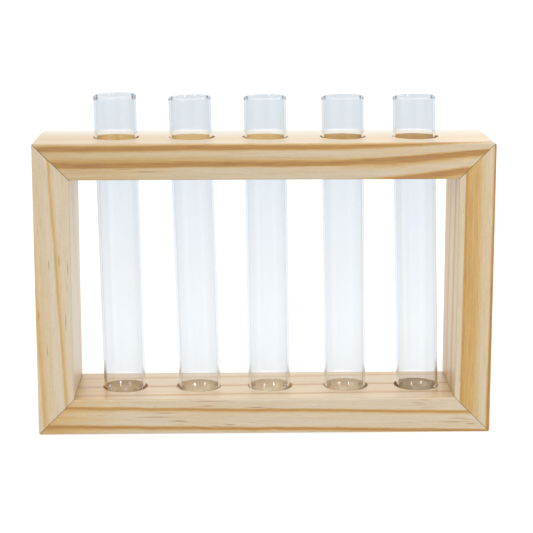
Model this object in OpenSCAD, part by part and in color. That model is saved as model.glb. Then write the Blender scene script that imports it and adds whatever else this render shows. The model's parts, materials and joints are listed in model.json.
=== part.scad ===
// Test tube stand: a mitred pine frame that holds five round-bottom glass test tubes.
// Millimetres. Origin at the middle of the frame's underside, +X to the right, +Y to the back, +Z up.

/* [Frame] */
// Overall width of the frame
frame_w = 213.5; // [208:0.5:240]
// Overall height of the frame, without the tubes
frame_h = 138.5; // [130:0.5:142]
// Width of the planed board, front to back
board_d = 46; // [42:1:60]
// Thickness of the planed board
board_t = 17; // [16:0.5:20]
// Rounding of the board's long edges
edge_r = 0.9; // [0.4:0.1:1.5]
// Rounding of the frame's corner at the upper right, worn more than the rest
worn_corner_r = 2; // [1:0.1:3]
// Rounding of the frame's two lower corners
foot_corner_r = 1.2; // [0.6:0.1:2.5]

/* [Corner joints] */
// Glue line in each mitre
glue_gap = 0.16; // [0.1:0.01:0.3]
// Diameter of the hidden dowels
dowel_d = 6; // [5:0.5:7]
// Length of the hidden dowels
dowel_l = 16; // [12:0.5:17]
// Distance between the two dowels of a corner, front to back
dowel_spacing = 23; // [16:1:32]
// Distance from the outer corner to the dowels' middle, along the board
dowel_inset = 10.5; // [10:0.1:11]

/* [Holes] */
// Diameter of the five holes and of the five blind recesses under them
hole_d = 21.6; // [21.4:0.1:22.5]
// Middle of hole 1, measured from the middle of the frame
hole_1_x = -69.4; // [-72:0.1:-67]
// Middle of hole 2
hole_2_x = -33.8; // [-36:0.1:-32]
// Middle of hole 3
hole_3_x = 0.7; // [-1:0.1:3]
// Middle of hole 4
hole_4_x = 37.3; // [35:0.1:39]
// Middle of hole 5
hole_5_x = 71.6; // [70:0.1:72.5]
// How far the recesses sit to the right of the holes above them
recess_shift = 2.4; // [0:0.1:3]
// Depth of the blind recesses in the lower board
recess_depth = 9.5; // [8.5:0.1:10]
// How much shallower the first recess is
first_recess_less = 1; // [0:0.1:1.5]

/* [Test tubes] */
// Outside diameter of a tube
tube_d = 20; // [19.5:0.1:20]
// Overall length of a tube
tube_l = 150; // [148:1:160]
// Glass thickness
tube_wall = 1.2; // [1:0.1:1.5]
// Gap kept between a tube's bottom and the recess it stands in
seat_gap = 0.1; // [0.05:0.05:0.3]
// Sideways play that a tube can take up in the upper hole
play_top = 0.25; // [0:0.05:0.25]
// Sideways play that a tube can take up in the recess
play_foot = 0.45; // [0:0.05:0.45]
// Share of the play that tube 1 takes up: 1 leans it more, -1 less
lean_1 = -0.4; // [-1:0.1:1]
// Share of the play that tube 2 takes up
lean_2 = 1; // [-1:0.1:1]
// Share of the play that tube 3 takes up
lean_3 = -1; // [-1:0.1:1]
// Share of the play that tube 4 takes up
lean_4 = -0.8; // [-1:0.1:1]
// Share of the play that tube 5 takes up
lean_5 = 1; // [-1:0.1:1]

/* [Hidden] */
$fn = 96;

pine = [0.87, 0.72, 0.52];
beech = [0.80, 0.66, 0.50];
clear_glass = [0.86, 0.92, 0.95, 0.35];

hole_x = [hole_1_x, hole_2_x, hole_3_x, hole_4_x, hole_5_x];
lean_share = [lean_1, lean_2, lean_3, lean_4, lean_5];
tube_r = tube_d / 2;
rim_r = tube_wall / 2;
dowel_slack = 0.1;
socket_slack = 0.5;
dowel_chamfer = 0.6;
cut = 60;

// Moves a lower-left corner feature to the corner named by its side and its level.
module at_corner(side, level) {
    translate([side * frame_w / 2, 0, level > 0 ? frame_h : 0])
        mirror([side > 0 ? 1 : 0, 0, 0])
            mirror([0, 0, level > 0 ? 1 : 0])
                children();
}

// Everything on the stile's side of a corner's mitre, cut away from a rail.
module beyond_mitre() {
    rotate([0, -45, 0])
        translate([-cut / 2, -cut, -glue_gap / 2])
            cube([cut, 2 * cut, cut]);
}

// Everything on the rail's side of a corner's mitre, cut away from a stile.
module under_mitre() {
    rotate([0, -45, 0])
        translate([-cut / 2, -cut, glue_gap / 2 - cut])
            cube([cut, 2 * cut, cut]);
}

// The sharp edge that a rounded outer corner loses.
module corner_waste(r) {
    difference() {
        translate([-r, -cut, -r])
            cube([2 * r, 2 * cut, 2 * r]);
        translate([r, 0, r])
            rotate([90, 0, 0])
                cylinder(h = 3 * cut, r = r, center = true);
    }
}

// The two dowel positions of a corner, square to the mitre.
module at_dowels() {
    for (y = [-dowel_spacing / 2, dowel_spacing / 2])
        translate([dowel_inset, y, dowel_inset])
            rotate([0, -45, 0])
                children();
}

module dowel() {
    body_l = dowel_l - 2 * dowel_chamfer;
    cylinder(h = body_l, d = dowel_d, center = true);
    for (end = [0, 1])
        mirror([0, 0, end])
            translate([0, 0, body_l / 2])
                cylinder(h = dowel_chamfer, d1 = dowel_d, d2 = dowel_d - 2 * dowel_chamfer);
}

module dowel_socket() {
    cylinder(h = dowel_l + 2 * socket_slack, d = dowel_d + 2 * dowel_slack, center = true);
}

// What both boards of a corner lose: the rounded outer edge and the dowel sockets.
module corner_cuts(side, level) {
    r = level < 0 ? foot_corner_r : (side > 0 ? worn_corner_r : edge_r);
    at_corner(side, level) {
        corner_waste(r);
        at_dowels()
            dowel_socket();
    }
}

// The planed board's cross-section with its rounded edges.
module board_section() {
    square([board_d - 2 * edge_r, board_t], center = true);
    square([board_d, board_t - 2 * edge_r], center = true);
    for (x = [-1, 1], y = [-1, 1])
        translate([x * (board_d / 2 - edge_r), y * (board_t / 2 - edge_r)])
            circle(r = edge_r);
}

// A board lying along X, its lower face on the ground.
module rail_blank() {
    translate([-frame_w / 2, 0, board_t / 2])
        rotate([90, 0, 90])
            linear_extrude(height = frame_w)
                board_section();
}

// A board standing on its end, its outer face at x = 0 and its width along Y.
module stile_blank() {
    translate([board_t / 2, 0, 0])
        rotate([0, 0, 90])
            linear_extrude(height = frame_h)
                board_section();
}

module top_rail() {
    color(pine)
        difference() {
            translate([0, 0, frame_h - board_t])
                rail_blank();
            for (side = [-1, 1]) {
                at_corner(side, 1)
                    beyond_mitre();
                corner_cuts(side, 1);
            }
            for (x = hole_x)
                translate([x, 0, frame_h - 2 * board_t])
                    cylinder(h = 3 * board_t, d = hole_d);
        }
}

function recess_floor(i) = board_t - recess_depth + (i == 0 ? first_recess_less : 0);

module bottom_rail() {
    color(pine)
        difference() {
            rail_blank();
            for (side = [-1, 1]) {
                at_corner(side, -1)
                    beyond_mitre();
                corner_cuts(side, -1);
            }
            for (i = [0 : len(hole_x) - 1])
                translate([hole_x[i] + recess_shift, 0, recess_floor(i)])
                    cylinder(h = board_t, d = hole_d);
        }
}

module stile(side) {
    color(pine)
        difference() {
            translate([side * frame_w / 2, 0, 0])
                mirror([side > 0 ? 1 : 0, 0, 0])
                    stile_blank();
            for (level = [-1, 1]) {
                at_corner(side, level)
                    under_mitre();
                corner_cuts(side, level);
            }
        }
}

module left_stile() {
    stile(-1);
}

module right_stile() {
    stile(1);
}

module mitre_dowels() {
    color(beech)
        for (side = [-1, 1], level = [-1, 1])
            at_corner(side, level)
                at_dowels()
                    dowel();
}

// A tube standing on the origin: round bottom, straight wall, fire-polished rim.
module tube() {
    straight_l = tube_l - tube_r - rim_r;
    difference() {
        union() {
            translate([0, 0, tube_r])
                sphere(r = tube_r);
            translate([0, 0, tube_r])
                cylinder(h = straight_l, r = tube_r);
        }
        translate([0, 0, tube_r])
            sphere(r = tube_r - tube_wall);
        translate([0, 0, tube_r])
            cylinder(h = tube_l, r = tube_r - tube_wall);
    }
    translate([0, 0, tube_l - rim_r])
        rotate_extrude()
            translate([tube_r - rim_r, 0])
                circle(r = rim_r);
}

// A tube in its place, leaning from the middle of its round bottom to the hole above.
module placed_tube(i) {
    foot_x = hole_x[i] + recess_shift + lean_share[i] * play_foot;
    top_x = hole_x[i] - lean_share[i] * play_top;
    foot_z = recess_floor(i) + seat_gap + tube_r;
    lean = atan((foot_x - top_x) / (frame_h - board_t / 2 - foot_z));
    color(clear_glass)
        translate([foot_x, 0, foot_z])
            rotate([0, -lean, 0])
                translate([0, 0, -tube_r])
                    tube();
}

module test_tube_1() {
    placed_tube(0);
}

module test_tube_2() {
    placed_tube(1);
}

module test_tube_3() {
    placed_tube(2);
}

module test_tube_4() {
    placed_tube(3);
}

module test_tube_5() {
    placed_tube(4);
}

top_rail();
bottom_rail();
left_stile();
right_stile();
mitre_dowels();
test_tube_1();
test_tube_2();
test_tube_3();
test_tube_4();
test_tube_5();
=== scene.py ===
"""Looks for the test tube stand: grained pine boards, clear glass tubes, a pale floor and soft light.

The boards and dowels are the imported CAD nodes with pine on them. The tubes are lathed again, more finely.
Lengths in the materials and in the tube profile are in millimetres. Bump distances and everything else
are in metres.
"""

import json
import math
from dataclasses import dataclass

import bpy
from mathutils import Matrix, Vector


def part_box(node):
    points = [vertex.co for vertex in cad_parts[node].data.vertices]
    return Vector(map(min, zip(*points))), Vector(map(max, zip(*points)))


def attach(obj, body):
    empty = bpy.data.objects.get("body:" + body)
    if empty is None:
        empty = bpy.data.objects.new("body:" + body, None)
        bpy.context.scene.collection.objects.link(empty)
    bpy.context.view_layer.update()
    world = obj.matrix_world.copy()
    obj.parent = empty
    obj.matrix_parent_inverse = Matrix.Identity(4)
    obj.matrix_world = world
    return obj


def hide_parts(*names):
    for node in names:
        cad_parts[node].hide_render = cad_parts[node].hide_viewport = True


MM = 0.001

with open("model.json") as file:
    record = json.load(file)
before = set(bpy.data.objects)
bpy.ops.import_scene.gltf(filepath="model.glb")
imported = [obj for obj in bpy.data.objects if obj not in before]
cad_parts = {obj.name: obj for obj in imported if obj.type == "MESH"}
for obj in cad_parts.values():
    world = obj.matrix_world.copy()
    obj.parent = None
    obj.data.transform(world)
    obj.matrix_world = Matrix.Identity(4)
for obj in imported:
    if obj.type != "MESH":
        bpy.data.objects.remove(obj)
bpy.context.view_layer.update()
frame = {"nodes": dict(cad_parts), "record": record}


# ---------------------------------------------------------------- sizes taken from the frame

stile_low, stile_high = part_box("left_stile")
FRAME_HALF_W = -stile_low.x / MM
FRAME_HALF_D = stile_high.y / MM
BOARD_T = (stile_high.x - stile_low.x) / MM
FRAME_HALF_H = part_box("top_rail")[1].z / MM / 2


# ---------------------------------------------------------------- shader helpers


class Net:
    """Adds and wires shader nodes in one material or world."""

    def __init__(self, owner, output="OutputMaterial"):
        self.owner = owner
        owner.use_nodes = True
        self.tree = owner.node_tree
        self.tree.nodes.clear()
        self.out = self.tree.nodes.new("ShaderNode" + output)

    def add(self, kind, values=None, **settings):
        node = self.tree.nodes.new("ShaderNode" + kind)
        for key, value in settings.items():
            setattr(node, key, value)
        for key, value in (values or {}).items():
            self.feed(node.inputs[key], value)
        return node

    def feed(self, socket, value):
        if isinstance(value, bpy.types.NodeSocket):
            self.tree.links.new(value, socket)
        else:
            socket.default_value = value

    def finish(self, shader):
        self.feed(self.out.inputs["Surface"], shader.outputs[0])
        return self.owner

    def math(self, operation, *values, clamp=False):
        node = self.add("Math", operation=operation, use_clamp=clamp)
        for i, value in enumerate(values):
            self.feed(node.inputs[i], value)
        return node.outputs[0]

    def total(self, *values):
        result = values[0]
        for value in values[1:]:
            result = self.math("ADD", result, value)
        return result

    def product(self, *values):
        result = values[0]
        for value in values[1:]:
            result = self.math("MULTIPLY", result, value)
        return result

    def size(self, value):
        """The value without its sign."""
        return self.math("ABSOLUTE", value)

    def rest(self, value):
        """What the value leaves of one."""
        return self.math("SUBTRACT", 1.0, value)

    def vector(self, x, y, z):
        node = self.add("CombineXYZ")
        for socket, value in zip(node.inputs, (x, y, z)):
            self.feed(socket, value)
        return node.outputs[0]

    def scaled_vector(self, vector, factors):
        return self.add("VectorMath", {0: vector, 1: factors}, operation="MULTIPLY").outputs[0]

    def split(self, vector):
        return self.add("SeparateXYZ", {0: vector}).outputs

    def stretched(self, parts, per_mm):
        """A place for noise: each coordinate times how many features it holds in a millimetre."""
        return self.vector(*(self.product(part, rate) for part, rate in zip(parts, per_mm)))

    def noise(self, vector, detail=2.0, rough=0.5, scale=1.0):
        values = {"Vector": vector, "Scale": scale, "Detail": detail, "Roughness": rough}
        return self.add("TexNoise", values).outputs["Fac"]

    def span(self, value, low, high, to_low=0.0, to_high=1.0):
        """Maps low...high to to_low...to_high and holds the ends."""
        node = self.add("MapRange", {"Value": value, "From Min": low, "From Max": high,
                                     "To Min": to_low, "To Max": to_high})
        return node.outputs["Result"]

    def ramp(self, value, stops, low=0.0, high=1.0):
        """A colour ramp. stops are (place, colour or grey) pairs in rising order, from low to high."""
        whole = (low, high) == (0.0, 1.0)
        node = self.add("ValToRGB", {"Fac": value if whole else self.span(value, low, high)})
        elements = node.color_ramp.elements
        while len(elements) > 1:
            elements.remove(elements[-1])
        for i, (at, colour) in enumerate(stops):
            place = (at - low) / (high - low)
            element = elements[0] if i == 0 else elements.new(place)
            element.position = place
            grey = isinstance(colour, (int, float))
            element.color = (colour, colour, colour, 1.0) if grey else (*colour, 1.0)
        return node.outputs["Color"]

    def mix(self, factor, a, b, blend="MIX"):
        node = self.add("Mix", data_type="RGBA", blend_type=blend)
        self.feed(node.inputs[0], factor)
        for socket, value in ((node.inputs[6], a), (node.inputs[7], b)):
            self.feed(socket, (*value, 1.0) if isinstance(value, tuple) else value)
        return node.outputs[2]

    def shaded(self, colour, shade):
        """A colour times a grey value."""
        return self.mix(1.0, colour, self.vector(shade, shade, shade), "MULTIPLY")

    def blended(self, factor, shader, other):
        return self.add("MixShader", {0: factor, 1: shader.outputs[0], 2: other.outputs[0]})


def new_material(name):
    return Net(bpy.data.materials.new(name))


def millimetre_places(net, coordinates):
    return net.split(net.scaled_vector(coordinates["Object"], (1000.0, 1000.0, 1000.0)))


# ---------------------------------------------------------------- pine

# from early wood to the darkest late wood
WOOD_TONES = (
    (0.0, (0.625, 0.520, 0.375)),
    (0.25, (0.615, 0.462, 0.262)),
    (0.55, (0.575, 0.358, 0.112)),
    (0.80, (0.490, 0.246, 0.034)),
    (1.0, (0.370, 0.155, 0.020)),
)
FLECK = (0.33, 0.13, 0.022)
GLUE_LINE = (0.16, 0.08, 0.03)
GLUE_STRENGTH = 0.85
# the pale grey of the painted sheen on the back half
BACK_SHEEN = (0.60, 0.64, 0.61)
# painted sheen by depth: the back half is painted paler and greyer, for the gloss that catches the bright
# room behind it, and the back edge not at all
BACK_SHEEN_FROM, BACK_SHEEN_TO = 4.0, 18.0
SHEEN_EDGE_FROM, SHEEN_EDGE_TO = 22.8, 21.4

# the drilled walls, from just under the face to deep in the hole: fresh wood, with painted light that grows
# deeper down for the light the glass sends into the hole
BORE_TONES = ((0.0, (0.84, 0.54, 0.17)), (1.0, (0.92, 0.61, 0.21)))
RECESS_TONES = ((0.0, (0.52, 0.38, 0.22)), (0.45, (0.58, 0.44, 0.25)), (1.0, (0.65, 0.53, 0.34)))
BORE_TONE_DEPTHS = (1.0, 5.5)
# end grain, with painted shade for the narrow gap between a tube and the ends of its hole
END_GRAIN_AND_GAP_SHADE = (0.24, 0.125, 0.032)
# a drilled wall is nearer to the middle of the board's depth than this, and lies deeper under its faces
BORE_REACH = 12.0
FACE_SKIN = 0.15
BORE_STRENGTH = 0.8

# features in a millimetre along the board, into its depth and across it
PATCH_PER_MM = (0.012, 0.05, 0.05)
STREAK_PER_MM = (0.02, 0.55, 0.55)
FIBRE_PER_MM = (0.10, 2.2, 2.2)
PORE_PER_MM = (0.75, 4.5, 4.5)
SCATTER_PER_MM = (0.075, 1.2, 1.2)
SWAY_PER_MM = (0.012, 0.02)
RIPPLE_PER_MM = (0.07, 0.09)
GLUE_PER_MM = (0.3, 0.3, 0.3)

GRAIN_RELIEF = 0.00012
LOWEST_RING, HIGHEST_RING = -40.0, 60.0
RING_STEP = 0.04


def band(at, amount, below, core, above):
    """One latewood band: it fades in over below, stays for core either side of at, fades out over above."""
    return [(at - core - below, 0.0), (at - core - 0.4 * below, 0.45 * amount), (at - core, amount),
            (at + core, amount), (at + core + 0.4 * above, 0.45 * amount), (at + core + above, 0.0)]


@dataclass
class Board:
    """How one board was cut from the tree: along which axis it grew and where its rings cross it.

    Rings are placed by their distance in millimetres, square to the rings: height across the board,
    turned by tilt degrees towards the board's depth. Places along the board are in the object's own
    millimetres.
    """

    node: str
    along: str
    tilt: float
    seed: float
    bands: tuple
    turned: tuple = ()                  # the bands at the far end of the board, where they differ
    turn: tuple = (0.0, 1.0)            # from where to where they change over
    drift: float = 0.0                  # how far the rings shift for each millimetre along the board
    fan: tuple = ()                     # start, climb, spread, about and least, used in ring_distance
    sway: float = 0.35                  # how far the rings wander slowly, in millimetres
    ripple: float = 0.16                # how far they wander over short lengths
    # painted shade and bounce light: start, stop and amount of a yellower, deeper end towards the left stile
    end_shade: tuple = (0.0, 1.0, 0.0)       # start, stop and amount of a yellower end
    mellow: float = 0.0                 # how much yellower the whole board is
    # painted light: how much yellower the upper face is painted for the light that falls on it
    top_face_light: float = 0.0                 # how much yellower its upper face is
    # painted sheen: how strongly the back half is painted paler
    back_sheen: float = 0.0                    # how pale its back half is
    shade: tuple = (1.0, 1.0)           # brightness at its two ends
    coat: float = 0.3                   # how strong its satin varnish is
    resin: float = 0.4                  # how strong its scattered resin streaks are
    bore_tones: tuple = BORE_TONES
    # painted light: each hole's wall is tinted for the light that reaches into that hole
    hole_light_tints: tuple = ((0.0, (1.0, 1.0, 1.0)),)  # place of a hole along the board, tint of its wall
    flecks: tuple = ()                  # place along the board, height, length and width


def band_ramp(net, distance, bands):
    """Latewood amount from the ring distance. Where two bands overlap, the lower one is kept whole."""
    stops = [(LOWEST_RING, 0.0)]
    for points in sorted(bands):
        stops += [(at, amount) for at, amount in points if at > stops[-1][0] + RING_STEP]
    return net.ramp(distance, stops, LOWEST_RING, HIGHEST_RING)


def ring_distance(net, board, along, height, depth):
    tilt = math.radians(board.tilt)
    sway_place = [net.product(part, rate) for part, rate in zip((along, depth), SWAY_PER_MM)]
    sway = net.noise(net.vector(*sway_place, board.seed), detail=1.0)
    ripple_place = [net.product(part, rate) for part, rate in zip((along, depth), RIPPLE_PER_MM)]
    ripple = net.noise(net.vector(*ripple_place, board.seed + 7.0))
    distance = net.total(net.product(height, math.cos(tilt)), net.product(depth, -math.sin(tilt)),
                         net.product(along, board.drift),
                         net.span(sway, 0.3, 0.7, -board.sway, board.sway),
                         net.span(ripple, 0.3, 0.7, -board.ripple, board.ripple))
    if board.fan:
        # past start the rings climb, the more so the further they lie below the one at about
        start, climb, spread, about, least = board.fan
        run = net.math("MAXIMUM", net.math("SUBTRACT", along, start), 0.0)
        share = net.rest(net.product(net.math("SUBTRACT", distance, about), spread))
        rise = net.product(run, run, climb, net.math("MAXIMUM", share, least))
        distance = net.math("SUBTRACT", distance, rise)
    return distance


def fleck_amount(net, board, along, height, depth):
    """Short resin streaks: a few placed ones on the front and a thin scatter, all lying along the grain."""
    scatter_at, *scatter_off = [net.product(part, rate)
                                for part, rate in zip((along, depth, height), SCATTER_PER_MM)]
    scatter_place = net.vector(net.total(scatter_at, board.seed * 3.1), *scatter_off)
    scatter = net.noise(scatter_place, detail=1.0, rough=0.4)
    amount = net.product(net.span(scatter, 0.725, 0.79), board.resin)
    spot = net.vector(along, height, depth)
    for at, up, length, width in board.flecks:
        centre = (at, up, -FRAME_HALF_D)
        offset = net.add("VectorMath", {0: spot, 1: centre}, operation="SUBTRACT").outputs[0]
        shaped = net.scaled_vector(offset, (2.0 / length, 2.0 / width, 0.4))
        reach = net.add("VectorMath", {0: shaped}, operation="LENGTH").outputs["Value"]
        amount = net.math("MAXIMUM", amount, net.span(reach, 1.0, 0.3, 0.0, 0.95))
    return amount


def glue_amount(net, x, depth, z):
    """The joint line where boards meet at 45 degrees: wide here, thin there, darkest on the upper left."""
    outer_x = net.math("SUBTRACT", FRAME_HALF_W, net.size(x))
    outer_z = net.math("SUBTRACT", FRAME_HALF_H, net.size(net.math("SUBTRACT", z, FRAME_HALF_H)))
    off_mitre = net.size(net.math("SUBTRACT", outer_x, outer_z))
    squeeze = net.noise(net.stretched((x, depth, z), GLUE_PER_MM), detail=3.0)
    width = net.span(squeeze, 0.35, 0.7, 0.18, 0.5)
    line = net.math("SUBTRACT", 1.0, net.math("DIVIDE", off_mitre, width), clamp=True)
    side = net.span(x, -60.0, 60.0, 1.0, 0.3)
    lower = net.span(z, 40.0, 100.0, 0.45, 1.0)
    towards_corner = net.span(outer_x, 2.0, 15.0, 1.0, 0.5)
    return net.product(line, side, lower, towards_corner)


def wood_colour(net, board, ends, along, height, depth, rings, grain):
    """Early and late wood with streaks, a yellower end painted for the shade and light thrown back by the
    left stile, an upper face painted yellower for the light on it, and a back half painted paler for sheen.
    """
    patch, streak, fibre, pore = grain
    # painted shade and bounce light at the left end
    start, stop, amount = board.end_shade
    # the upper face, painted for the light that falls on it
    upper_face = net.span(height, BOARD_T - 0.25, BOARD_T - 0.05)
    soft = net.total(net.span(patch, 0.35, 0.65, 0.0, 0.10), net.span(streak, 0.35, 0.68, -0.04, 0.14),
                     net.span(along, start, stop, amount, 0.0),
                     net.product(upper_face, board.top_face_light), board.mellow)
    ring_share = net.product(rings, net.span(fibre, 0.25, 0.75, 0.80, 1.08))
    late = net.total(soft, net.product(ring_share, net.rest(soft)))
    shade = net.product(net.span(fibre, 0.25, 0.75, 1.07, 0.93), net.span(pore, 0.3, 0.72, 1.04, 0.92),
                        net.span(along, *ends, *board.shade))
    colour = net.shaded(net.ramp(late, WOOD_TONES), shade)
    # painted sheen on the back half
    paler = net.product(net.span(depth, BACK_SHEEN_FROM, BACK_SHEEN_TO), net.span(depth, SHEEN_EDGE_FROM, SHEEN_EDGE_TO))
    return net.mix(net.product(paler, board.back_sheen), colour, BACK_SHEEN)


def bore_amount(net, height, depth):
    """1 inside the holes drilled down through the middle of the board, 0 on its faces."""
    near_middle = net.math("LESS_THAN", net.size(depth), BORE_REACH)
    off_middle = net.size(net.math("SUBTRACT", height, BOARD_T / 2))
    below_face = net.math("LESS_THAN", off_middle, BOARD_T / 2 - FACE_SKIN)
    return net.product(near_middle, below_face)


def bore_colour(net, board, ends, along, height, normal):
    """Fresh wood with painted light on the drilled walls, each hole tinted for its painted light, and dark
    end grain with painted shade in the gap where the drill cut across the fibres.
    """
    shallow, deep = BORE_TONE_DEPTHS
    drilled = net.ramp(net.span(height, BOARD_T - shallow, BOARD_T - deep), board.bore_tones)
    # end grain and painted gap shade where the wall faces along the board
    hole_ends = net.math("POWER", net.split(normal)[0], 2.0)
    drilled = net.mix(net.span(hole_ends, 0.35, 0.9), drilled, END_GRAIN_AND_GAP_SHADE)
    # painted light, hole by hole
    return net.mix(1.0, drilled, net.ramp(along, board.hole_light_tints, *ends), "MULTIPLY")


def pine(board):
    """A planed pine board: rings, fibre streaks, resin flecks, drilled holes, a glue line at its mitres."""
    net = new_material("pine_" + board.node)
    low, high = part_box(board.node)
    coordinates = net.add("TexCoord").outputs
    x, depth, z = millimetre_places(net, coordinates)
    if board.along == "X":
        along, across, base, ends = x, z, low.z / MM, (low.x / MM, high.x / MM)
    else:
        along, across, base, ends = z, x, low.x / MM, (low.z / MM, high.z / MM)
    height = net.math("SUBTRACT", across, base)

    distance = ring_distance(net, board, along, height, depth)
    rings = band_ramp(net, distance, board.bands)
    if board.turned:
        rings = net.mix(net.span(along, *board.turn), rings, band_ramp(net, distance, board.turned))

    patch_at, *patch_off = [net.product(part, rate)
                            for part, rate in zip((along, depth, across), PATCH_PER_MM)]
    patch = net.noise(net.vector(net.total(patch_at, board.seed), *patch_off))
    streak = net.noise(net.stretched((along, depth, across), STREAK_PER_MM), detail=3.0, rough=0.55)
    fibre = net.noise(net.stretched((along, depth, across), FIBRE_PER_MM), detail=3.0, rough=0.6)
    pore = net.noise(net.stretched((along, depth, across), PORE_PER_MM), rough=0.6)

    colour = wood_colour(net, board, ends, along, height, depth, rings, (patch, streak, fibre, pore))
    flecks = fleck_amount(net, board, along, height, depth)
    colour = net.mix(flecks, colour, FLECK)
    colour = net.mix(net.product(glue_amount(net, x, depth, z), GLUE_STRENGTH), colour, GLUE_LINE)
    bore = bore_amount(net, height, depth)
    drilled = bore_colour(net, board, ends, along, height, coordinates["Normal"])
    colour = net.mix(net.product(bore, BORE_STRENGTH), colour, drilled)

    relief = net.total(net.product(pore, 0.5), net.product(fibre, 0.35), net.product(rings, 0.5),
                       net.product(flecks, -0.2))
    bump = net.add("Bump", {"Height": relief, "Strength": 0.4, "Distance": GRAIN_RELIEF})
    rough = net.total(net.span(pore, 0.3, 0.7, 0.42, 0.52), net.product(rings, -0.06),
                      net.product(bore, 0.2))
    return net.finish(net.add("BsdfPrincipled", {
        "Base Color": colour, "Roughness": rough, "Normal": bump.outputs[0], "Specular IOR Level": 0.5,
        "IOR": 1.5, "Coat Weight": board.coat, "Coat Roughness": 0.35}))


def dress(name, material):
    """Puts one material on a carried-over CAD node."""
    materials = frame["nodes"][name].data.materials
    materials.clear()
    materials.append(material)


TOP_RAIL = Board(
    "top_rail", "X", tilt=-26.0, seed=3.0,
    bands=(band(-13.5, 0.78, 1.0, 0.6, 3.0), band(-3.7, 0.98, 0.9, 0.7, 3.2),
           band(3.3, 0.92, 0.9, 0.8, 1.2), band(12.2, 0.3, 3.0, 0.4, 3.0)),
    turned=(band(-13.0, 0.92, 5.0, 1.2, 1.5), band(-3.7, 0.98, 3.2, 1.2, 1.0),
            band(3.3, 0.92, 1.4, 0.6, 1.2), band(12.2, 0.2, 3.0, 0.4, 3.0)),
    turn=(30.0, 60.0), fan=(10.0, 0.00083, 0.06, -3.8, 0.2),
    end_shade=(-106.0, 0.0, 0.20), mellow=0.04, top_face_light=0.10, back_sheen=0.55, shade=(0.81, 0.92), coat=0.65, resin=0.3,
    hole_light_tints=((-69.4, (0.965, 0.94, 0.77)), (-33.8, (1.01, 1.09, 1.26)), (0.7, (1.0, 1.05, 1.02)),
                 (37.3, (0.79, 0.68, 0.34)), (71.6, (0.765, 0.655, 0.40))),
    flecks=((-54.0, 3.9, 20.0, 0.5), (-64.0, 5.2, 12.0, 0.4), (13.0, 7.2, 9.0, 0.4),
            (80.0, 1.8, 16.0, 0.6), (84.0, 3.2, 14.0, 0.5)))

BOTTOM_RAIL = Board(
    "bottom_rail", "X", tilt=33.0, seed=11.0,
    bands=(band(-1.5, 0.75, 1.4, 0.3, 0.5), band(6.5, 0.75, 1.4, 0.3, 0.5), band(14.4, 0.95, 1.2, 0.4, 0.7),
           band(22.1, 0.9, 1.2, 0.35, 0.4), band(29.5, 0.6, 1.2, 0.3, 0.5)),
    drift=0.0137, end_shade=(-105.0, -62.0, 0.52), top_face_light=0.20, shade=(0.92, 0.95), coat=0.85, resin=0.5,
    bore_tones=RECESS_TONES,
    hole_light_tints=((-69.4, (1.10, 1.0, 0.80)), (-33.8, (1.32, 1.35, 1.34)), (0.7, (1.39, 1.48, 1.53)),
                 (37.3, (1.39, 1.46, 1.49)), (71.6, (0.95, 0.95, 0.84))),
    flecks=((-25.5, 16.0, 24.0, 0.5), (-27.0, 13.6, 11.0, 0.5), (-4.0, 12.8, 13.0, 0.6),
            (-47.0, 10.3, 13.0, 0.5), (-52.0, 8.4, 23.0, 0.5), (-41.0, 6.4, 11.0, 0.7),
            (-16.5, 4.4, 8.0, 0.5), (92.0, 6.8, 13.0, 0.5), (89.0, 5.0, 22.0, 0.5), (97.5, 4.0, 7.0, 0.5)))

LEFT_STILE = Board(
    "left_stile", "Z", tilt=-10.0, seed=19.0,
    bands=([(-8.0, 0.0), (-6.0, 0.18)], band(-0.7, 0.55, 1.2, 0.2, 1.4)[:4],
           [(1.6, 0.16), (4.4, 0.12), (6.6, 0.0)], band(9.75, 0.6, 0.6, 0.3, 2.0),
           band(21.0, 0.4, 1.5, 0.3, 2.0)),
    drift=0.0479, mellow=-0.04, shade=(0.96, 0.89), coat=0.6,
    flecks=((58.0, 1.5, 6.0, 0.5), (82.0, 6.8, 7.0, 0.5), (55.0, 14.0, 12.0, 0.5), (80.0, 15.5, 10.0, 0.5),
            (84.0, 11.5, 8.0, 0.5), (41.0, 5.0, 7.0, 0.5)))

# its inner face shows three thin lines, and its front a broad yellow plateau between two of them
RIGHT_STILE = Board(
    "right_stile", "Z", tilt=8.0, seed=29.0,
    bands=([(-6.0, 0.2), (-2.7, 0.2), (-2.4, 0.75), (-2.2, 0.75), (-1.95, 0.2), (-1.7, 0.2),
            (-1.38, 0.95), (-1.08, 0.95), (-0.7, 0.2), (0.7, 0.2), (0.98, 1.0), (1.26, 1.0),
            (1.65, 0.18), (2.9, 0.14), (3.5, 0.0)],
           [(5.4, 0.0), (5.7, 0.74), (6.5, 0.83), (7.1, 0.64), (11.5, 0.60), (13.2, 0.37), (15.0, 0.1)],
           band(19.1, 1.0, 1.1, 0.45, 1.2)),
    drift=-0.004, sway=0.12, ripple=0.05, shade=(0.97, 0.95), coat=0.4)

DOWELS = Board("mitre_dowels", "X", tilt=20.0, seed=41.0, bands=(band(5.0, 0.3, 1.0, 0.3, 1.0),))


# ---------------------------------------------------------------- glass

TUBE_R, TUBE_L, WALL = 10.0, 150.0, 1.2
FOOT_EXTRA = 0.7
RECESS_FLOOR_Z = 7.5
LATHE_STEPS = 144
FOOT_STEPS, WALL_STEPS, LIP_STEPS = 26, 22, 14
LIP_TOP = FOOT_STEPS + WALL_STEPS + 2 + LIP_STEPS // 2
GLASS_IOR = 1.47
GLASS_WAVE = 0.0004
GLASS_CLEAR = (0.995, 0.997, 0.998)
SHADOW_TINT = (0.99, 0.993, 0.995)
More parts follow.
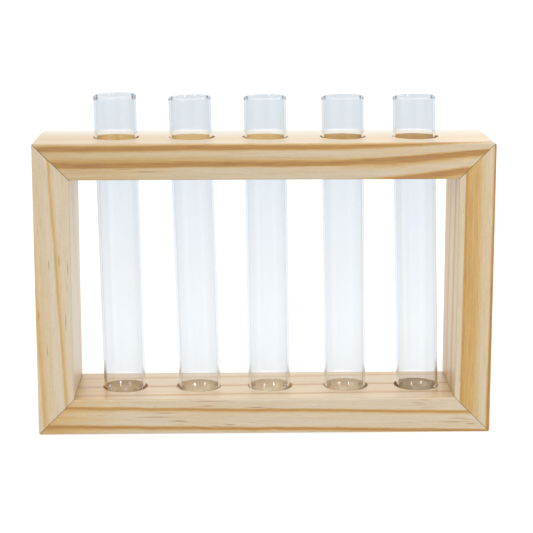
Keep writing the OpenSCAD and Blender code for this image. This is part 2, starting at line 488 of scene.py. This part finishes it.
# the painted reflection of the room in the glass, by height
REFLECTED_ROOM_FOOT = (0.815, 0.851, 0.880)
REFLECTED_ROOM_LOW = (0.778, 0.812, 0.843)
REFLECTED_ROOM_MIDDLE = (0.730, 0.787, 0.835)
REFLECTED_ROOM_HIGH = (0.668, 0.722, 0.765)
GLINT = (0.74, 0.82, 0.92)
DUST_AND_SHINE = (0.97, 0.94, 0.94)
# painted shade at the two ends of the lip
LIP_END = (0.07, 0.12, 0.13)

# by millimetres above the table: the painted reflection of the room, cooler and darker higher up, whether
# the glass has wood round it, the share of dust
ROOM_TINT = ((0.0, GLASS_CLEAR), (21.0, GLASS_CLEAR), (21.4, REFLECTED_ROOM_FOOT), (47.5, REFLECTED_ROOM_FOOT), (79.5, REFLECTED_ROOM_LOW),
             (113.5, REFLECTED_ROOM_MIDDLE), (118.5, REFLECTED_ROOM_MIDDLE), (121.5, GLASS_CLEAR), (140.45, GLASS_CLEAR),
             (140.85, REFLECTED_ROOM_HIGH))
WOOD_AROUND = ((0.0, 1.0), (24.5, 1.0), (33.5, 0.0), (120.5, 0.0), (123.5, 1.0), (140.5, 1.0), (142.5, 0.0))
DUST_SHARE = ((0.0, 0.0), (16.6, 0.0), (17.2, 0.11), (20.9, 0.11), (21.4, 0.05), (118.5, 0.05),
              (121.5, 0.0), (140.4, 0.0), (140.8, 0.05))

# by millimetres up the tube: only the round foot bends what is seen through it, and the lip is whiter, with
# dust and a painted highlight
FOOT_BENDS = ((0.0, 1.0), (7.0, 1.0), (9.0, 0.0))
LIP_FROM, LIP_FULL = 148.8, 149.2
# dust, and a painted highlight round the lip
LIP_SHINE_FROM, LIP_SHINE_FULL, LIP_DUST_AND_SHINE = 149.0, 149.5, 0.22


def tube_profile(lift):
    """(radius, height) points in millimetres: outside from the bottom up, over the lip, down the inside.

    lift is how far this tube's foot stands above the floor of its recess.
    """
    points = []
    for i in range(FOOT_STEPS + 1):
        a = -math.pi / 2 + i * math.pi / 2 / FOOT_STEPS
        points.append((TUBE_R * math.cos(a), TUBE_R + TUBE_R * math.sin(a)))
    bead = WALL / 2
    top = TUBE_L - bead
    # rings close to the foot and the lip keep the smooth shading of the straight wall straight
    low, high = TUBE_R + 0.3, top - 0.15
    levels = [low + (high - low) * i / WALL_STEPS for i in range(WALL_STEPS + 1)]
    points += [(TUBE_R, level) for level in levels]
    for i in range(LIP_STEPS + 1):
        a = i * math.pi / LIP_STEPS
        points.append((TUBE_R - bead + bead * math.cos(a), top + bead * math.sin(a)))
    inner = TUBE_R - WALL
    points += [(inner, level) for level in reversed(levels)]
    for i in range(FOOT_STEPS + 1):
        a = -i * math.pi / 2 / FOOT_STEPS
        points.append((inner * math.cos(a), TUBE_R + (inner - FOOT_EXTRA) * math.sin(a)))
    return [(r, z + lift) for r, z in points]


def lathe(name, profile, steps, first_inner):
    """A closed surface turned about Z. Faces from profile point first_inner on take the second material."""
    vertices, faces, rows, slots = [], [], [], []
    for r, z in profile:
        if r < 1e-6:
            rows.append([len(vertices)])
            vertices.append((0.0, 0.0, z * MM))
        else:
            rows.append(list(range(len(vertices), len(vertices) + steps)))
            for k in range(steps):
                a = 2 * math.pi * k / steps
                vertices.append((r * math.cos(a) * MM, r * math.sin(a) * MM, z * MM))
    for row, (below, above) in enumerate(zip(rows, rows[1:])):
        slots += [1 if row >= first_inner else 0] * steps
        for k in range(steps):
            n = (k + 1) % steps
            if len(below) == 1:
                faces.append((below[0], above[n], above[k]))
            elif len(above) == 1:
                faces.append((below[k], below[n], above[0]))
            else:
                faces.append((below[k], below[n], above[n], above[k]))
    mesh = bpy.data.meshes.new(name)
    mesh.from_pydata(vertices, [], faces)
    mesh.validate()
    mesh.polygons.foreach_set("use_smooth", [True] * len(mesh.polygons))
    mesh.polygons.foreach_set("material_index", slots)
    obj = bpy.data.objects.new(name, mesh)
    bpy.context.scene.collection.objects.link(obj)
    return obj


def tube_place(number):
    """Where the record's bore mount puts a tube: a matrix at its recess floor, and the foot's lift in mm."""
    mounts = {m["name"]: m for m in frame["record"]["mounts"]}
    mount = mounts["tube_%d_mouth" % number]
    axis = Vector(mount["axis"]).normalized()
    foot_to_mount = TUBE_R + mount["dims"]["length_mm"] / 2
    foot = Vector(mount["pos_m"]) - axis * foot_to_mount * MM
    lift = max(0.0, foot.z / MM - RECESS_FLOOR_Z)
    turn = Vector((0, 0, 1)).rotation_difference(axis).to_matrix().to_4x4()
    return Matrix.Translation(foot - axis * lift * MM) @ turn, lift


def thin_glass(name, outside):
    """Clear borosilicate, thin in the wall: light goes straight through the wall, and the foot bends it.

    Against the bright room the glass has a faint cool tint, a painted reflection of the room that grows
    darker higher up, and against the wood of the two rails it has none. So the tint goes by height above the
    table, also when the tube is lifted. It is counted where light crosses the outer wall from inside, once
    for each pass through the tube.
    """
    net = new_material(name)
    coordinates = net.add("TexCoord").outputs
    x, y, z = millimetre_places(net, coordinates)
    geometry = net.add("NewGeometry").outputs
    leaving = geometry["Backfacing"]
    above_table = net.product(net.split(geometry["Position"])[2], 1000.0)
    facing = net.add("LayerWeight", {"Blend": 0.5}).outputs["Facing"]
    smears = net.noise(net.stretched((x, y, z), (0.5, 0.5, 0.03)), detail=3.0)
    rough = net.span(smears, 0.45, 0.8, 0.0, 0.03)
    wave = net.noise(net.stretched((x, y, z), (0.16, 0.16, 0.02)), detail=1.0)
    bump = net.add("Bump", {"Height": wave, "Strength": 0.1, "Distance": GLASS_WAVE}).outputs[0]

    tint = GLASS_CLEAR
    mirrored = net.add("Fresnel", {"IOR": GLASS_IOR, "Normal": bump}).outputs[0]
    glint_colour = (*GLINT, 1.0)
    if outside:
        streaks = net.noise(net.stretched((x, y, z), (0.22, 0.22, 0.004)))
        # painted reflection: the room seen in the glass, by height above the table
        room_reflection = net.shaded(net.ramp(above_table, ROOM_TINT, 0.0, TUBE_L),
                          net.span(streaks, 0.35, 0.65, 0.965, 1.0))
        tint = net.mix(leaving, GLASS_CLEAR, room_reflection)
        # out past the width of the bore the light turns round inside the wall and comes from the side: this
        # shows where the glass has wood round it
        turned_back = net.product(net.span(facing, 0.51, 0.56),
                                  net.ramp(above_table, WOOD_AROUND, 0.0, TUBE_L))
        mirrored = net.math("MAXIMUM", mirrored, turned_back)
        glint_colour = net.mix(turned_back, GLINT, room_reflection)
    # painted shade: the two ends of the lip are painted dark and green, for the dark things the lip shows
    # there by inner reflection, with the green of a long way through the glass
    upright = net.size(net.split(coordinates["Normal"])[2])
    lip = net.product(net.span(z, LIP_FROM, LIP_FULL), net.span(upright, 0.8, 0.5),
                      net.span(facing, 0.50, 0.68))
    tint = net.mix(lip, tint, LIP_END)

    straight = net.add("BsdfTransparent", {"Color": tint})
    glint = net.add("BsdfGlossy", {"Color": glint_colour, "Roughness": rough, "Normal": bump})
    shell = net.blended(net.product(mirrored, net.rest(leaving)), straight, glint)
    # dust on the glass, and a painted highlight round the lip
    if outside:
        dust_and_lip_shine = net.math("MAXIMUM", net.ramp(above_table, DUST_SHARE, 0.0, TUBE_L),
                         net.span(z, LIP_SHINE_FROM, LIP_SHINE_FULL, 0.0, LIP_DUST_AND_SHINE))
        shell = net.blended(dust_and_lip_shine, shell, net.add("BsdfDiffuse", {"Color": (*DUST_AND_SHINE, 1.0)}))
    foot = net.add("BsdfPrincipled", {
        "Base Color": (*GLASS_CLEAR, 1.0), "Roughness": rough, "IOR": GLASS_IOR,
        "Transmission Weight": 1.0, "Normal": bump})
    seen = net.blended(net.ramp(z, FOOT_BENDS, 0.0, TUBE_L), shell, foot)
    # light on its way to the wood goes straight through, so the tubes cast hardly any shadow
    light_path = net.add("LightPath").outputs
    lighting = net.math("MAXIMUM", light_path["Is Shadow Ray"], light_path["Is Diffuse Ray"])
    see_through = net.add("BsdfTransparent", {"Color": (*SHADOW_TINT, 1.0)})
    return net.finish(net.blended(lighting, seen, see_through))


# ---------------------------------------------------------------- floor, light and camera

WHITE = (1.0, 1.0, 1.0, 1.0)
FLOOR_HALF = 12.0
# the floor lies just below the stand, so that the two never share a plane
FLOOR_DROP = 0.0001
FLOOR_GLOW = 0.72
ROOM_FRONT, ROOM_BACK = 0.60, 1.34

# name, place, the point it is aimed at, width and height, watts
LAMPS = (
    ("overhead", (0.1, -0.6, 1.3), (0, 0, 0.05), (1.0, 1.0), 7.0),
    ("right_key", (1.2, 0.0, 0.9), (0, 0, 0.08), (0.6, 0.6), 5.0),
    ("left_fill", (-1.1, -0.6, 0.5), (0, 0, 0.08), (0.6, 0.6), 2.0),
)
# two tall windows either side of the camera, seen only as highlights in the round feet of the tubes
WINDOWS = (
    ("window_pane", (-1.2, -2.0, 0.7), (0, 0, 0.02), (0.26, 0.9), 18.0),
    ("window_pane", (1.2, -2.0, 0.7), (0, 0, 0.02), (0.26, 0.9), 18.0),
)

SENSOR_MM = 36.0
# the focal length and the width of the picture, in the same unit
PHOTO_FOCAL_PX, PHOTO_PX = 1630.2, 533.0
FRAMING_SHIFT = -0.08
CAMERA_PLACE = (-0.0167, -0.76253, 0.24172)
CAMERA_PITCH, CAMERA_ROLL, CAMERA_YAW = 10.773, 0.016, 1.358


def pale_floor():
    """A flat white floor that glows a little, as a lit studio table does."""
    net = new_material("pale_floor")
    cloud = net.noise(net.add("TexCoord").outputs["Object"], scale=3.0)
    colour = net.mix(cloud, (0.29, 0.29, 0.29), (0.31, 0.31, 0.31))
    material = net.finish(net.add("BsdfPrincipled", {
        "Base Color": colour, "Roughness": 0.7, "Specular IOR Level": 0.2,
        "Emission Color": WHITE, "Emission Strength": FLOOR_GLOW}))
    mesh = bpy.data.meshes.new("floor")
    corners = [(-1, -1), (1, -1), (1, 1), (-1, 1)]
    mesh.from_pydata([(x * FLOOR_HALF, y * FLOOR_HALF, 0) for x, y in corners], [], [(0, 1, 2, 3)])
    mesh.materials.append(material)
    floor = bpy.data.objects.new("floor", mesh)
    bpy.context.scene.collection.objects.link(floor)
    floor.location.z = -FLOOR_DROP


def area_light(name, place, target, size, watts):
    data = bpy.data.lights.new(name, "AREA")
    data.shape = "RECTANGLE"
    data.size, data.size_y = size
    data.energy = watts
    lamp = bpy.data.objects.new(name, data)
    bpy.context.scene.collection.objects.link(lamp)
    lamp.location = place
    lamp.rotation_euler = (Vector(target) - Vector(place)).to_track_quat("-Z", "Y").to_euler()
    return lamp


def studio():
    """A white room, brighter behind the stand than in front, with soft lamps above and to both sides."""
    world = bpy.data.worlds.new("studio")
    net = Net(world, "OutputWorld")
    towards_back = net.split(net.add("TexCoord").outputs["Generated"])[1]
    room = net.span(towards_back, -1.0, 1.0, ROOM_FRONT, ROOM_BACK)
    seen = net.math("MAXIMUM", room, net.add("LightPath").outputs["Is Camera Ray"])
    net.finish(net.add("Background", {"Color": WHITE, "Strength": seen}))
    bpy.context.scene.world = world
    for lamp in LAMPS:
        area_light(*lamp)
    for window in WINDOWS:
        area_light(*window).visible_diffuse = False


def camera():
    """The photograph's view: a long lens with a small shift, looking down a little and to the right."""
    data = bpy.data.cameras.new("camera")
    data.lens = SENSOR_MM * PHOTO_FOCAL_PX / PHOTO_PX
    data.shift_y = FRAMING_SHIFT
    data.clip_start, data.clip_end = 0.05, 60.0
    obj = bpy.data.objects.new("camera", data)
    bpy.context.scene.collection.objects.link(obj)
    obj.location = CAMERA_PLACE
    obj.rotation_euler = [math.radians(angle) for angle in (90.0 - CAMERA_PITCH, CAMERA_ROLL, -CAMERA_YAW)]
    bpy.context.scene.camera = obj


# ---------------------------------------------------------------- the object

for board in (TOP_RAIL, BOTTOM_RAIL, LEFT_STILE, RIGHT_STILE, DOWELS):
    dress(board.node, pine(board))

glass_walls = (thin_glass("glass_outside", True), thin_glass("glass_inside", False))
for number in range(1, 6):
    body = "test_tube_%d" % number
    place, lift = tube_place(number)
    tube = lathe("glass_tube_%d" % number, tube_profile(lift), LATHE_STEPS, LIP_TOP)
    tube.matrix_world = place
    for wall in glass_walls:
        tube.data.materials.append(wall)
    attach(tube, body)
    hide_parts(body)

pale_floor()
studio()
camera()

view = bpy.context.scene.view_settings
view.view_transform = "Standard"
view.look = "None"
cycles = bpy.context.scene.cycles
cycles.caustics_refractive = False
cycles.caustics_reflective = False
cycles.max_bounces = 24
cycles.transmission_bounces = 24
cycles.transparent_max_bounces = 48
